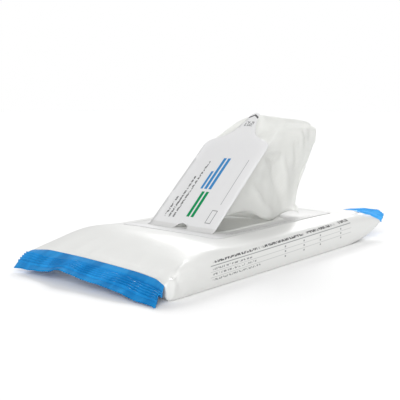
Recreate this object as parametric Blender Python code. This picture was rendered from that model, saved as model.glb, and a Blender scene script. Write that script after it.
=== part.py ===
"""An opened flow-wrap pack of wet wipes: a film sleeve with a crimped seal at each end, a resealable
label with its flap peeled up, the folded wipes inside, and one wipe drawn up through the opening.

X runs along the pack, from the end where the flap is hinged to the end where the wipe comes out.
Y runs across it and Z is up. The pack lies on z = 0, and the origin is under its middle. Metres."""

import math

import bmesh
import bpy
from mathutils import Vector

# The sleeve
PACK_LENGTH = 0.275
PACK_WIDTH = 0.129
PACK_HEIGHT = 0.0237
PUFF = 0.0032  # how far the air cushion near the left end stands above the rest of the top
PUFF_X = -0.31 * PACK_LENGTH
PUFF_REACH = 0.08 * PACK_LENGTH
RIGHT_FALL = 0.0010  # how much lower the top lies beyond the stack's right end
FALL_START = 0.275 * PACK_LENGTH
FALL_LENGTH = 0.2 * PACK_LENGTH
SAG = 0.0012  # how far the top sags round the opening
SIDE_LINE = 0.0095  # height of the sleeve's widest line
FILM = 0.0005  # wall of the sleeve
LEFT_SLOPE = 0.038  # length of the top's fall to the left seal, at its near end
FAR_SLOPE = 0.020  # how much longer that fall is at the far end
RIGHT_SLOPE = 0.030
LEFT_FOOT = 0.005  # length of the underside's rise to the left seal
RIGHT_FOOT = 0.055

# The crimped end seals
SEAL_WIDTH = 0.017
SEAL_THICKNESS = 0.001
RIB_HEIGHT = 0.0004
RIBS = 5
TEETH_PER_SPAN = 2
TOOTH = 0.0011
VALLEY = 0.2  # how far out the valley between two teeth lies, as a share of a tooth

# The label. Distances along the flap are measured from its crease
CREASE_X = -0.0454
FLAP_LENGTH = 0.122
FLAP_WIDTH = 0.0606
FLAP_ANGLE = math.radians(41.3)
FRAME_BORDER = 0.0137
FRONT_BORDER = 0.013
LABEL_THICKNESS = 0.0003
LABEL_CORNER = 0.003
CELL = 0.008  # the label's frame bends with the film at lines this far apart
DIE_CUT = 0.0006  # width of the cut between the flap and its frame
HALF_MOON = 0.006  # radius of the half-moon at the crease
GAP = 0.0003  # between pieces that touch

# The dispensing opening
OPENING_BORDER = 0.005  # how far the flap overlaps the opening's rim
OPENING_START = 0.0114  # from the crease
OPENING_END = 0.72 * FLAP_LENGTH
OPENING_ROUND = 0.012  # radius of its corners at that end

# The wipes
END_ROOM = 0.0335  # between the stack and the pack's end
STACK_LENGTH = PACK_LENGTH - 2 * END_ROOM
STACK_HEIGHT = 0.0208
SIDE_ROOM = 0.0018  # between the stack and the sleeve's side
TOP_ROOM = 0.0009  # least room between the stack and the sleeve's top
STACK_CORNER = 0.004
WIPE = 0.0006
WIPE_ROOM = 0.0015  # between the drawn-out wipe's middle and what it lies against
WIPE_INSET = 0.004  # how far inside the flap's edge the wipe's creases run

# Mesh fineness
SPANS = 28  # facets across the sleeve
BODY_STEPS = 24

LEFT, RIGHT = -1, 1


def through(points, at):
    """The value at a place on the smooth curve through (place, value) points, which never overshoots."""
    if at <= points[0][0]:
        return points[0][1]
    if at >= points[-1][0]:
        return points[-1][1]
    i = max(k for k in range(len(points) - 1) if points[k][0] <= at)
    grades = [(q[1] - p[1]) / (q[0] - p[0]) for p, q in zip(points, points[1:])]

    def slope(k):
        a, b = grades[max(k - 1, 0)], grades[min(k, len(grades) - 1)]
        return 2 * a * b / (a + b) if a * b > 0 else 0.0

    run = points[i + 1][0] - points[i][0]
    t = (at - points[i][0]) / run
    ease = t * t * (3 - 2 * t)
    turn = run * (t * (1 - t) ** 2 * slope(i) - t * t * (1 - t) * slope(i + 1))
    return mix(points[i][1], points[i + 1][1], ease) + turn


def mix(a, b, t):
    return a + (b - a) * t


def clamp(t):
    return min(max(t, 0.0), 1.0)


def material(name, colour, roughness, metallic=0.0):
    mat = bpy.data.materials.new(name)
    mat.use_nodes = True
    shader = mat.node_tree.nodes["Principled BSDF"]
    shader.inputs["Base Color"].default_value = (*colour, 1)
    shader.inputs["Roughness"].default_value = roughness
    shader.inputs["Metallic"].default_value = metallic
    mat.diffuse_color = (*colour, 1)
    return mat


def add_object(name, bm, mat=None):
    """The bmesh as a named object, shaded smooth with its sharp edges kept."""
    mesh = bpy.data.meshes.new(name)
    bm.to_mesh(mesh)
    bm.free()
    mesh.shade_smooth()
    mesh.set_sharp_from_angle(angle=math.radians(35))
    if mat:
        mesh.materials.append(mat)
    ob = bpy.data.objects.new(name, mesh)
    bpy.context.scene.collection.objects.link(ob)
    return ob


def add_cutter(name, bm):
    ob = add_object(name, bm)
    ob.hide_render = True
    ob.display_type = "WIRE"
    return ob


def subtract(ob, cutter):
    cut = ob.modifiers.new("cut_" + cutter.name, "BOOLEAN")
    cut.operation = "DIFFERENCE"
    cut.object = cutter


def thicken(ob, thickness):
    """Gives a sheet its thickness on the side that its faces look to."""
    solid = ob.modifiers.new("thickness", "SOLIDIFY")
    solid.thickness = thickness
    solid.offset = 1
    solid.use_even_offset = True


def look_up(bm):
    """Turns an open sheet's faces to one side, upwards."""
    bmesh.ops.recalc_face_normals(bm, faces=bm.faces)
    if sum(f.normal.z * f.calc_area() for f in bm.faces) < 0:
        bmesh.ops.reverse_faces(bm, faces=bm.faces)


# The sleeve's shape
#
# across runs from -1, the near side, to 1, the far side. Each seal is a ribbon between its base
# line, where the sleeve opens out, and its toothed edge. Both lines wander in height and in x.

HALF_LENGTH, HALF_WIDTH = PACK_LENGTH / 2, PACK_WIDTH / 2

# Heights of those lines, as shares of the pack's
BASE_HEIGHT = {
    LEFT: [(-1, 0.414), (-0.78, 0.473), (-0.3, 0.540), (0.3, 0.582), (0.7, 0.582), (1, 0.506)],
    RIGHT: [
        (-1, 0.549), (-0.9, 0.738), (-0.8, 0.861), (-0.7, 0.911), (-0.6, 0.903), (-0.3, 0.759),
        (0.15, 0.582), (1, 0.473),
    ],
}
EDGE_HEIGHT = {
    LEFT: [
        (-1, 0.034), (-0.76, 0.084), (-0.5, 0.203), (0, 0.287), (0.25, 0.371), (0.48, 0.245),
        (1, 0.135),
    ],
    RIGHT: [
        (-1, 0.768), (-0.9, 0.928), (-0.66, 0.895), (-0.5, 0.785), (-0.3, 0.633), (0.15, 0.464),
        (1, 0.435),
    ],
}
# How far each base line strays outwards, as a share of the seal's width
BASE_STRAY = {
    LEFT: [(-1, 0.36), (-0.8, 0.08), (-0.5, 0), (0.8, 0), (1, 0.06)],
    RIGHT: [(-1, 0.84), (-0.86, 0.44), (-0.7, 0.10), (-0.5, 0), (1, 0)],
}
FLARE = {LEFT: 0, RIGHT: 0.0017}  # how much further each corner of a seal stands out at its toothed edge
DRAWN_IN = 0.0029  # how far the gusset draws the near left corner in
DRAWN_REACH = 0.016

# The exponents of rounded squares: 2 is a circle's arc, and more is squarer
TOP_SHAPE = 5.0
BOTTOM_SHAPE = 2.2
SLOPE_SHAPE = 1.8
FOOT_SHAPE = {LEFT: 2.6, RIGHT: 1.5}
STACK_SHAPE = 8
BOTTOM_FLAT = 0.965  # share of the underside's width that lies flat


def base_x(end, across):
    stray = through(BASE_STRAY[end], across)
    return end * (HALF_LENGTH - TOOTH - SEAL_WIDTH * (1 - stray))


def base_height(end, across):
    return PACK_HEIGHT * through(BASE_HEIGHT[end], across)


def bulge(t, shape):
    """Rises from 0 to 1 like the quarter of a rounded square."""
    return (1 - (1 - clamp(t)) ** shape) ** (1 / shape)


def nearness(across):
    """0 over the far part of the sleeve, and 1 at its near side."""
    t = clamp((-0.2 - across) / 0.8)
    return t * t * (3 - 2 * t)


def half_width(x, across):
    """Half the sleeve's width, less what the near left corner is drawn in."""
    drawn = 1 - bulge((x - base_x(LEFT, across)) / DRAWN_REACH, 2)
    return HALF_WIDTH - DRAWN_IN * drawn * nearness(across)


def top_height(x):
    """The height of the flat middle of the top."""
    puff = math.exp(-(((x - PUFF_X) / PUFF_REACH) ** 2))
    fall = clamp((x - FALL_START) / FALL_LENGTH)
    return PACK_HEIGHT + PUFF * puff - RIGHT_FALL * fall


def sagging(x, y):
    """1 round the opening, 0 at the flap's crease and at the label's edges."""
    start = clamp((x - CREASE_X) / (0.2 * FLAP_LENGTH))
    stop = clamp((CREASE_X + FLAP_LENGTH - x) / (0.3 * FLAP_LENGTH))
    side = clamp((FLAP_WIDTH / 2 + FRAME_BORDER - abs(y)) / FRAME_BORDER)
    return math.prod(t * t * (3 - 2 * t) for t in (start, stop, side))


def section(x, across):
    """The sleeve's (top, bottom) heights at a place."""
    left_x, right_x = base_x(LEFT, across), base_x(RIGHT, across)
    from_left, from_right = x - left_x, right_x - x
    left_share = 1 - bulge(from_left / LEFT_SLOPE, 1.3)
    right_share = 1 - bulge(from_right / RIGHT_SLOPE, 1.3)
    middle = SIDE_LINE
    middle += (base_height(LEFT, across) - SIDE_LINE) * left_share
    middle += (base_height(RIGHT, across) - SIDE_LINE) * right_share
    left_slope = LEFT_SLOPE + FAR_SLOPE * clamp((across + 0.3) / 1.2)
    rise = bulge(from_left / left_slope, SLOPE_SHAPE) * bulge(from_right / RIGHT_SLOPE, SLOPE_SHAPE)
    sink = bulge(from_left / LEFT_FOOT, FOOT_SHAPE[LEFT]) * bulge(from_right / RIGHT_FOOT, FOOT_SHAPE[RIGHT])
    upper, lower = middle + SEAL_THICKNESS / 2, middle - SEAL_THICKNESS / 2
    edge = min(abs(across), 1)
    top = upper + (top_height(x) - upper) * rise * (1 - edge**TOP_SHAPE) ** (1 / TOP_SHAPE)
    top -= SAG * sagging(x, across * HALF_WIDTH)
    turn = clamp((edge - BOTTOM_FLAT) / (1 - BOTTOM_FLAT))
    bottom = lower * (1 - sink * (1 - turn**BOTTOM_SHAPE) ** (1 / BOTTOM_SHAPE))
    return top, bottom


def film_top(x, y):
    return section(x, y / HALF_WIDTH)[0]


def spread(i, count, squareness):
    """Place i of count + 1 across the sleeve, crowded towards its sides where it is square."""
    even = 2 * i / count - 1
    return mix(even, math.sin(even * math.pi / 2), squareness)


def ring(bm, points):
    """One closed ring of vertices from (x, y, top, bottom) places across the sleeve."""
    upper = [bm.verts.new((x, y, top)) for x, y, top, _ in points]
    lower = [bm.verts.new((x, y, bottom)) for x, y, _, bottom in points]
    return upper + lower[::-1]


def bridge(bm, a, b):
    for i in range(len(a)):
        j = (i + 1) % len(a)
        bm.faces.new((a[i], a[j], b[j], b[i]))


def seal_ring(bm, end, step, steps):
    """Ring number step of a seal, 0 at the base line."""
    t = step / steps
    rib = RIB_HEIGHT * (-1) ** step if 1 < step < steps - 1 else 0
    points = []
    for i in range(SPANS + 1):
        across = spread(i, SPANS, 0.25)
        x = mix(base_x(end, across), end * (HALF_LENGTH - TOOTH), t)
        drawn = DRAWN_IN * nearness(across) if end == LEFT else 0
        y = across * (HALF_WIDTH + FLARE[end] * t - drawn * (1 - t))
        z = mix(base_height(end, across), PACK_HEIGHT * through(EDGE_HEIGHT[end], across), t) + rib
        points.append((x, y, z + SEAL_THICKNESS / 2, max(z - SEAL_THICKNESS / 2, 0)))
    return ring(bm, points)


def body_ring(bm, t):
    points = []
    for i in range(SPANS + 1):
        across = spread(i, SPANS, mix(0.25, 0.85, bulge(min(t, 1 - t) * 8, 2)))
        x = mix(base_x(LEFT, across), base_x(RIGHT, across), t)
        points.append((x, across * half_width(x, across), *section(x, across)))
    return ring(bm, points)


def close_with_teeth(bm, edge, end):
    """Closes the end of a seal with a row of teeth along its edge."""
    count = SPANS + 1
    upper, lower = edge[:count], edge[count:][::-1]
    for i in range(SPANS):
        rows = []
        for line in (upper, lower):
            a, b = line[i], line[i + 1]
            row = [a]
            for k in range(1, 2 * TEETH_PER_SPAN):
                spot = a.co.lerp(b.co, k / (2 * TEETH_PER_SPAN))
                spot.x += end * TOOTH * (1 if k % 2 else VALLEY)
                row.append(bm.verts.new(spot))
            rows.append(row + [b])
        bm.faces.new(rows[0])
        bm.faces.new(rows[1][::-1])
        for k in range(2 * TEETH_PER_SPAN):
            bm.faces.new((rows[0][k + 1], rows[0][k], rows[1][k], rows[1][k + 1]))


def outer_film():
    bm = bmesh.new()
    steps = 2 * RIBS + 3
    rings = [seal_ring(bm, LEFT, s, steps) for s in range(steps, 0, -1)]
    for s in range(BODY_STEPS + 1):
        even = s / BODY_STEPS
        rings.append(body_ring(bm, mix(even, (1 - math.cos(math.pi * even)) / 2, 0.75)))
    rings += [seal_ring(bm, RIGHT, s, steps) for s in range(1, steps + 1)]
    for a, b in zip(rings, rings[1:]):
        bridge(bm, a, b)
    close_with_teeth(bm, rings[0], LEFT)
    close_with_teeth(bm, rings[-1], RIGHT)
    bmesh.ops.remove_doubles(bm, verts=bm.verts, dist=1e-6)
    bmesh.ops.recalc_face_normals(bm, faces=bm.faces)
    return bm


def inner_film():
    """The hollow inside the sleeve: its outer shape, a wall smaller."""
    bm = bmesh.new()
    rings = []
    spans, steps = SPANS // 2, BODY_STEPS - 4
    for s in range(steps + 1):
        t = mix(0.05, 0.94, s / steps)
        points = []
        for i in range(spans + 1):
            across = spread(i, spans, 0.85)
            x = mix(base_x(LEFT, across), base_x(RIGHT, across), t)
            top, bottom = section(x, across)
            wall = FILM * (1 - abs(across) ** 16)
            points.append((x, across * (half_width(x, across) - FILM), top - wall, bottom + wall))
        rings.append(ring(bm, points))
    for a, b in zip(rings, rings[1:]):
        bridge(bm, a, b)
    bm.faces.new(rings[0])
    bm.faces.new(rings[-1])
    bmesh.ops.recalc_face_normals(bm, faces=bm.faces)
    return bm


# The label and the opening

# The flap's far side, as shares of its length and of half its width: straight to a round shoulder,
# then hollow to a narrow pull tab with a round tip
FLAP_OUTLINE = [
    (0, 1), (0.12, 1), (0.24, 1), (0.36, 1), (0.48, 1), (0.60, 1), (0.685, 1), (0.712, 0.965),
    (0.735, 0.87), (0.751, 0.73), (0.765, 0.595), (0.783, 0.48), (0.81, 0.375), (0.845, 0.295),
    (0.885, 0.23), (0.925, 0.175), (0.965, 0.135), (0.988, 0.09), (1, 0),
]


def flap_side(outset=0.0):
    """(s, y) points from near the crease's far end along the flap's far side to the tip of its tab."""
    outline = [(FLAP_LENGTH * s, FLAP_WIDTH / 2 * y) for s, y in FLAP_OUTLINE]
    beyond_tip = (outline[-2][0], -outline[-2][1])
    points = []
    for before, here, after in zip(outline, outline[1:], outline[2:] + [beyond_tip]):
        along, down = after[0] - before[0], after[1] - before[1]
        length = math.hypot(along, down)
        points.append((here[0] - outset * down / length, here[1] + outset * along / length))
    return points


def opening_outline():
    """The opening's outline round its middle, in (s, y), inside the flap's."""
    half = FLAP_WIDTH / 2 - OPENING_BORDER
    side = [(OPENING_START, half - OPENING_BORDER)]
    side.append((OPENING_START + OPENING_BORDER * 0.3, half - OPENING_BORDER * 0.3))
    side.append((OPENING_START + OPENING_BORDER, half))
    start, stop = side[-1][0], OPENING_END - OPENING_ROUND
    side += [(mix(start, stop, k / 5), half) for k in range(1, 5)]
    for k in range(5):
        turn = math.pi / 2 * (1 - k / 4)
        arc = (stop + OPENING_ROUND * math.cos(turn), half - OPENING_ROUND * (1 - math.sin(turn)))
        side.append(arc)
    return side + [(s, -y) for s, y in side[::-1]]


def crease_places():
    """The y of the label's vertices along its crease, with the half-moon's among them."""
    half = FLAP_WIDTH / 2
    outside = [mix(half, HALF_MOON, k / 4) for k in range(5)]
    inside = [HALF_MOON * math.cos(math.pi * k / 6) for k in range(1, 6)]
    return outside + inside + [-y for y in reversed(outside)]


def label_corner(x, y, turn_from):
    """Three points round a corner of the label's outline."""
    points = []
    for k in range(3):
        turn = math.radians(turn_from + 45 * k)
        points.append((x + LABEL_CORNER * math.cos(turn), y + LABEL_CORNER * math.sin(turn)))
    return points


def label_outline():
    half = FLAP_WIDTH / 2 + FRAME_BORDER - LABEL_CORNER
    start = CREASE_X - FRONT_BORDER + LABEL_CORNER
    stop = CREASE_X + FLAP_LENGTH + FRONT_BORDER - LABEL_CORNER
    outline = label_corner(stop, half, 0)
    outline += [(mix(stop, start, k / 9), half + LABEL_CORNER) for k in range(1, 9)]
    outline += label_corner(start, half, 90)
    outline += [(start - LABEL_CORNER, mix(half, -half, k / 8)) for k in range(1, 8)]
    outline += label_corner(start, -half, 180)
    outline += [(mix(start, stop, k / 9), -half - LABEL_CORNER) for k in range(1, 9)]
    outline += label_corner(stop, -half, 270)
    outline += [(stop + LABEL_CORNER, mix(-half, half, k / 8)) for k in range(1, 8)]
    return outline


def crease_height():
    return film_top(CREASE_X, 0) + GAP


def on_flap(s, y, out=0.0):
    """A place on the flap's underside, or out from it along its normal."""
    along = Vector((math.cos(FLAP_ANGLE), 0, math.sin(FLAP_ANGLE)))
    normal = Vector((-math.sin(FLAP_ANGLE), 0, math.cos(FLAP_ANGLE)))
    return Vector((CREASE_X, y, crease_height())) + along * s + normal * out


def fill_between(bm, loops):
    edges = []
    for loop in loops:
        for a, b in zip(loop, loop[1:] + loop[:1]):
            edges.append(bm.edges.get((a, b)) or bm.edges.new((a, b)))
    bmesh.ops.triangle_fill(bm, use_beauty=True, use_dissolve=False, edges=edges)


def score(bm, low, high, axis):
    """Cuts a flat sheet along evenly spaced lines, so that it can follow the film."""
    count = round((high - low) / CELL)
    for k in range(1, count):
        place, normal = [0, 0, 0], [0, 0, 0]
        place[axis], normal[axis] = mix(low, high, k / count), 1
        geom = bm.verts[:] + bm.edges[:] + bm.faces[:]
        bmesh.ops.bisect_plane(bm, geom=geom, plane_co=place, plane_no=normal, dist=1e-6)


def reseal_label(mat):
    """The frame that stays down and the flap that is peeled up, one sheet along the crease."""
    bm = bmesh.new()
    places = crease_places()
    crease = [bm.verts.new((CREASE_X, y, 0)) for y in places]
    moon = {i: HALF_MOON * math.sin(math.acos(clamp(abs(y) / HALF_MOON))) for i, y in enumerate(places)}
    tongue = [i for i, y in enumerate(places) if abs(y) < HALF_MOON * 0.999]
    first, last = tongue[0] - 1, tongue[-1] + 1
    die_line = flap_side(DIE_CUT)
    far = [bm.verts.new((CREASE_X + s, y, 0)) for s, y in die_line]
    near = [bm.verts.new((CREASE_X + s, -y, 0)) for s, y in die_line[-2::-1]]
    outer = [bm.verts.new((x, y, 0)) for x, y in label_outline()]
    fill_between(bm, [outer, crease[::-1] + far + near])
    tips = [bm.verts.new((CREASE_X + moon[i] - DIE_CUT, places[i], 0)) for i in tongue]
    bm.faces.new([crease[i] for i in range(first, last + 1)] + tips[::-1])
    score(bm, CREASE_X - FRONT_BORDER, CREASE_X + FLAP_LENGTH + FRONT_BORDER, 0)
    for v in bm.verts:
        v.co.z = crease_height() if v in crease else film_top(v.co.x, v.co.y) + GAP
    row = [v for v in crease]
    for k, i in enumerate(tongue):
        row[i] = bm.verts.new(on_flap(moon[i], places[i]))
    for s, half in flap_side()[:-1]:
        step = [bm.verts.new(on_flap(s, y * half / (FLAP_WIDTH / 2))) for y in places]
        for i in range(len(places) - 1):
            bm.faces.new((row[i], row[i + 1], step[i + 1], step[i]))
        row = step
    tip = bm.verts.new(on_flap(FLAP_LENGTH, 0))
    for i in range(len(places) - 1):
        bm.faces.new((row[i], row[i + 1], tip))
    look_up(bm)
    label = add_object("reseal_label", bm, mat)
    thicken(label, LABEL_THICKNESS)
    return label


def prism(outline, place, bottom, top):
    """A closed prism on an outline of (s, y), with place(s, y, out) giving its points."""
    bm = bmesh.new()
    lower = [bm.verts.new(place(s, y, bottom)) for s, y in outline]
    upper = [bm.verts.new(place(s, y, top)) for s, y in outline]
    bridge(bm, lower, upper)
    bm.faces.new(lower)
    bm.faces.new(upper)
    bmesh.ops.recalc_face_normals(bm, faces=bm.faces)
    return bm


def film_sleeve(mat):
    sleeve = add_object("film_sleeve", outer_film(), mat)
    subtract(sleeve, add_cutter("hollow", inner_film()))
    upright = lambda s, y, out: Vector((CREASE_X + s, y, out))
    cutter = prism(opening_outline(), upright, PACK_HEIGHT * 0.6, PACK_HEIGHT * 1.5)
    subtract(sleeve, add_cutter("opening", cutter))
    return sleeve


def opening_panel(mat):
    """The piece of film that the opening leaves, stuck under the flap."""
    return add_object("opening_panel", prism(opening_outline(), on_flap, -GAP - FILM, -GAP), mat)


# The wipes


def wipes_stack(mat):
    """The folded wipes inside, a block with soft, rounded ends."""
    bm = bmesh.new()
    half = HALF_WIDTH - FILM - SIDE_ROOM
    floor = FILM + GAP
    ends = [(0, STACK_CORNER), (0.01, STACK_CORNER * 0.3), (0.02, 0)]
    places = ends + [(0.25, 0), (0.5, 0), (0.75, 0)] + [(1 - t, inset) for t, inset in reversed(ends)]
    rings = []
    for t, inset in places:
        x = mix(-STACK_LENGTH / 2, STACK_LENGTH / 2, t)
        points = []
        for i in range(SPANS // 2 + 1):
            across = spread(i, SPANS // 2, 0.85)
            y = across * (half - inset)
            round_off = (1 - abs(across) ** STACK_SHAPE) ** (1 / STACK_SHAPE)
            film = section(x, y / HALF_WIDTH)
            top = mix(STACK_HEIGHT * 0.5, STACK_HEIGHT, round_off) - inset
            bottom = mix(STACK_HEIGHT * 0.3, floor, round_off)
            top = min(top, film[0] - FILM - TOP_ROOM)
            bottom = max(bottom, film[1] + FILM + (TOP_ROOM if film[1] > GAP else GAP))
            points.append((x, y, top, bottom))
        rings.append(ring(bm, points))
    for a, b in zip(rings, rings[1:]):
        bridge(bm, a, b)
    bm.faces.new(rings[0])
    bm.faces.new(rings[-1])
    bmesh.ops.recalc_face_normals(bm, faces=bm.faces)
    return add_object("wipes_stack", bm, mat)


def wipe_lines():
    """Six lines along the drawn-out wipe: near hem, near crease, roof fold, ridge, far crease, far hem.
    Each runs from under the flap's root to the foot that lies on the label, in 16 places. Places are
    in parts of the flap's length of which it has 122, x from the crease and z from the label."""
    unit = FLAP_LENGTH / 122
    cling = -GAP - FILM - WIPE_ROOM
    edge = FLAP_WIDTH / 2 - WIPE_INSET

    def under_flap(*places):
        return [on_flap(s * unit, y * edge, cling) for s, y in places]

    def above(*places):
        return [Vector((CREASE_X + x * unit, y * unit, crease_height() + z * unit)) for x, y, z in places]

    def in_opening(*places):
        return [Vector((CREASE_X + x * unit, y * unit, STACK_HEIGHT + WIPE_ROOM)) for x, y in places]

    near_hem = above(
        (16.4, -25.5, 8.4), (25.4, -25, 9.1), (37.4, -25, 9.6), (49.4, -25, 8.8), (57.4, -25, 6.6),
        (65.4, -25, 3.2), (73.4, -24.3, 0.7), (80.0, -23, -0.2), (86.0, -23, 0.4), (91.0, -23.5, 1.3),
        (95.5, -24, 2.2), (99.0, -24.5, 2.9), (102.0, -25.5, 3.2), (104.0, -27, 3.2),
        (104.5, -30, 2.8), (102.0, -33.5, 1.9),
    )
    near_crease = under_flap((26, -1), (45, -1), (64, -1), (78, -1)) + above(
        (63.5, -27, 50.5), (70.4, -26.5, 55.0), (80.4, -26, 59.8), (91.4, -26, 62.0),
        (105.4, -26, 64.0), (121.4, -25.5, 66.4), (141, -23, 65.0), (142.5, -22, 57.0),
        (131, -21.5, 42.5), (118, -21.5, 24.0), (108, -22.5, 10.0), (106, -30, 5.5),
    )
    roof_fold = under_flap((26, -0.5), (46, -0.5), (68, -0.5), (86, -0.52), (96, -0.46)) + above(
        (88, -15.5, 66.7), (97, -15, 70.0), (108, -14, 72.0), (119, -14, 71.5), (131, -15, 69.8),
        (144, -17, 67.5), (147, -17, 60.0), (138, -17, 45.0), (124, -17, 26.0), (112, -18, 11.5),
        (109, -26, 7.0),
    )
    ridge = under_flap((26, 0), (46, -0.08), (70, -0.08), (90, -0.1), (108, -0.1)) + above(
        (91, -4, 77.4), (102, -6, 76.6), (113, -8, 75.0), (125, -9, 73.8), (138, -11, 72.4),
        (150, -12, 69.0), (152, -12, 60.0), (142, -12, 45.0), (128, -12, 26.0), (116, -14, 12.0),
        (111, -21, 7.5),
    )
    far_crease = under_flap((26, 1), (45, 1), (66, 1), (86, 0.95), (98, 0.78), (112, 0.46)) + above(
        (98, 13, 72.0), (110, 11, 71.0), (123, 9, 69.0), (136, 6, 66.0), (146, 2, 62.0),
        (146, 0, 53.0), (136, 0, 38.0), (122, 0, 22.0), (108, -3, 10.5), (106, -11, 6.5),
    )
    far_hem = above((23.4, 25, 8.0), (33, 24.3, 2.0)) + in_opening(
        (45, 23.5), (56, 22.5), (65, 21), (71, 18.5), (76, 15), (79, 11), (80.5, 7), (81.5, 3), (82.5, -1),
    )
    far_hem += above((88, -5, 0.9), (92, -7, 1.8), (97, -9, 2.4), (102, -12, 2.8), (105, -16, 3.0))
    return near_hem, near_crease, roof_fold, ridge, far_crease, far_hem


def smooth_row(points, pieces):
    """Points along the smooth curve through a row of points."""
    spots = []
    for i in range((len(points) - 1) * pieces + 1):
        at = i / pieces
        spots.append(Vector([through([(k, p[n]) for k, p in enumerate(points)], at) for n in range(3)]))
    return spots


def pulled_wipe(mat):
    """The wipe that stands behind the flap: near leaf, roof and far leaf of one sheet."""
    bm = bmesh.new()
    rows = [smooth_row(across, 3) for across in zip(*wipe_lines())]
    columns = [smooth_row(list(column), 2) for column in zip(*rows)]
    grid = [[bm.verts.new(p) for p in column] for column in columns]
    for a, b in zip(grid, grid[1:]):
        for i in range(len(a) - 1):
            bm.faces.new((a[i], a[i + 1], b[i + 1], b[i]))
    bmesh.ops.recalc_face_normals(bm, faces=bm.faces)
    wipe = add_object("pulled_wipe", bm, mat)
    thicken(wipe, WIPE)
    wipe.modifiers["thickness"].offset = 0
    return wipe


for old in list(bpy.data.objects):
    bpy.data.objects.remove(old)

film_finish = material("white_film", (0.84, 0.84, 0.83), 0.3)
label_finish = material("white_label", (0.80, 0.80, 0.81), 0.4)
wipe_finish = material("white_nonwoven", (0.78, 0.79, 0.76), 0.9)

film_sleeve(film_finish)
reseal_label(label_finish)
opening_panel(film_finish)
wipes_stack(wipe_finish)
pulled_wipe(wipe_finish)
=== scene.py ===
"""An opened flow-wrap pack of wet wipes, with its label peeled up and one wipe drawn out. Metres, Z up."""

import math

import bmesh
import bpy
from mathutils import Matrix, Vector, noise


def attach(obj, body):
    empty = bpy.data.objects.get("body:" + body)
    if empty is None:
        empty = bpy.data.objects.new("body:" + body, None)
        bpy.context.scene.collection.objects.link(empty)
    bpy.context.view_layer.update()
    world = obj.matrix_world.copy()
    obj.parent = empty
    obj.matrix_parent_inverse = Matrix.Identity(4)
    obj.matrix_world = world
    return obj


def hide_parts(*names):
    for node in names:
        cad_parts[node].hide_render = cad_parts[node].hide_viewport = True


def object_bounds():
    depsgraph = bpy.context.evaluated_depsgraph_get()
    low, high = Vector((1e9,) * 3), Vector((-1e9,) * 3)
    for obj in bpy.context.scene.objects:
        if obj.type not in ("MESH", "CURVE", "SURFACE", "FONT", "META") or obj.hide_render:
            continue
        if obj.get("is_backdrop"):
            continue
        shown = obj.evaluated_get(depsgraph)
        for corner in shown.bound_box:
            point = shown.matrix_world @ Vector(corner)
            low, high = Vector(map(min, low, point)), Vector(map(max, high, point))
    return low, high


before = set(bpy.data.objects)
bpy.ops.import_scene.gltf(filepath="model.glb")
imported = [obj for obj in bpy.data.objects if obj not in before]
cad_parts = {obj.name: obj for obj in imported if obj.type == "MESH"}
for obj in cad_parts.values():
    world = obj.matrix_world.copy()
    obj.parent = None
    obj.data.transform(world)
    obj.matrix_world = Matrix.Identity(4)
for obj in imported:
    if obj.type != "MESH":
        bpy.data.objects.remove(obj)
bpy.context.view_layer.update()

# The camera looks along the pack from its near left end, a little above the table, through a lens
# of about 63 mm.
lens = bpy.data.cameras.new("camera")
lens.sensor_width = 36
lens.lens = 62.926
camera = bpy.data.objects.new("camera", lens)
camera.location = (-0.40145, -0.32316, 0.11191)
camera.rotation_euler = (math.radians(90 - 8.03), 0, math.radians(-49.55))
bpy.context.scene.collection.objects.link(camera)
bpy.context.scene.camera = camera
bpy.context.scene.view_settings.view_transform = "Standard"

# The sleeve is one piece of white polyethylene film, folded to a tube and crimped shut across both
# ends. Each seal is printed blue, ribbed by the crimping jaws and cut with a serrated knife.
PACK_LENGTH = 0.275
PACK_WIDTH = 0.129
PACK_HEIGHT = 0.0237
SIDE_LINE = 0.0095  # height of the widest line
FILM = 0.0003
SEAL_WIDTH = 0.017
SEAL_THICKNESS = 0.0008
TOOTH = 0.0011
RIB_HEIGHT = 0.0011
RIB_PITCH = 0.1  # as a share of the seal's width
GROOVE_DEPTH = 0.0024
CORNER_DRAW = 0.0029
SAG = 0.0012
CUSHION_X = -0.0853
CUSHION_LENGTH = 0.022
CUSHION_HEIGHT = 0.0032
DROOP = 0.0010  # how far the top drops towards the right seal
LEFT, RIGHT = -1, 1
HALF_LENGTH, HALF_WIDTH = PACK_LENGTH / 2, PACK_WIDTH / 2
TEETH = 66
AROUND = 2 * TEETH
RINGS_ALONG = 150
SEAL_RINGS = 80
HOLLOW_RINGS = 60
HOLLOW_START = 0.04  # as a share of the length between the seals

# Heights of each seal's base line and toothed edge, from the near side, -1, to the far side, 1
BASE_HEIGHT = {
    LEFT: [(-1, 0.0098), (-0.78, 0.0112), (-0.3, 0.0128), (0.3, 0.0138), (0.7, 0.0138), (1, 0.0120)],
    RIGHT: [
        (-1, 0.0130), (-0.9, 0.0168), (-0.8, 0.0195), (-0.7, 0.0212), (-0.6, 0.0214), (-0.3, 0.0180),
        (0.15, 0.0138), (1, 0.0112),
    ],
}
EDGE_HEIGHT = {
    LEFT: [
        (-1, 0.0008), (-0.76, 0.0020), (-0.5, 0.0048), (0, 0.0068), (0.25, 0.0088), (0.48, 0.0058),
        (1, 0.0032),
    ],
    RIGHT: [
        (-1, 0.0182), (-0.9, 0.0216), (-0.76, 0.0214), (-0.62, 0.0196), (-0.5, 0.0168), (-0.3, 0.0140),
        (0.15, 0.0110), (1, 0.0103),
    ],
}
# How far each base line strays outwards, as a share of the seal's width
BASE_STRAY = {
    LEFT: [(-1, 0.36), (-0.8, 0.08), (-0.5, 0), (0.8, 0), (1, 0.06)],
    RIGHT: [(-1, 0.84), (-0.86, 0.44), (-0.7, 0.10), (-0.5, 0), (1, 0)],
}


def mix(a, b, t):
    return a + (b - a) * t


def clamp(t):
    return min(max(t, 0.0), 1.0)


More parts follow.
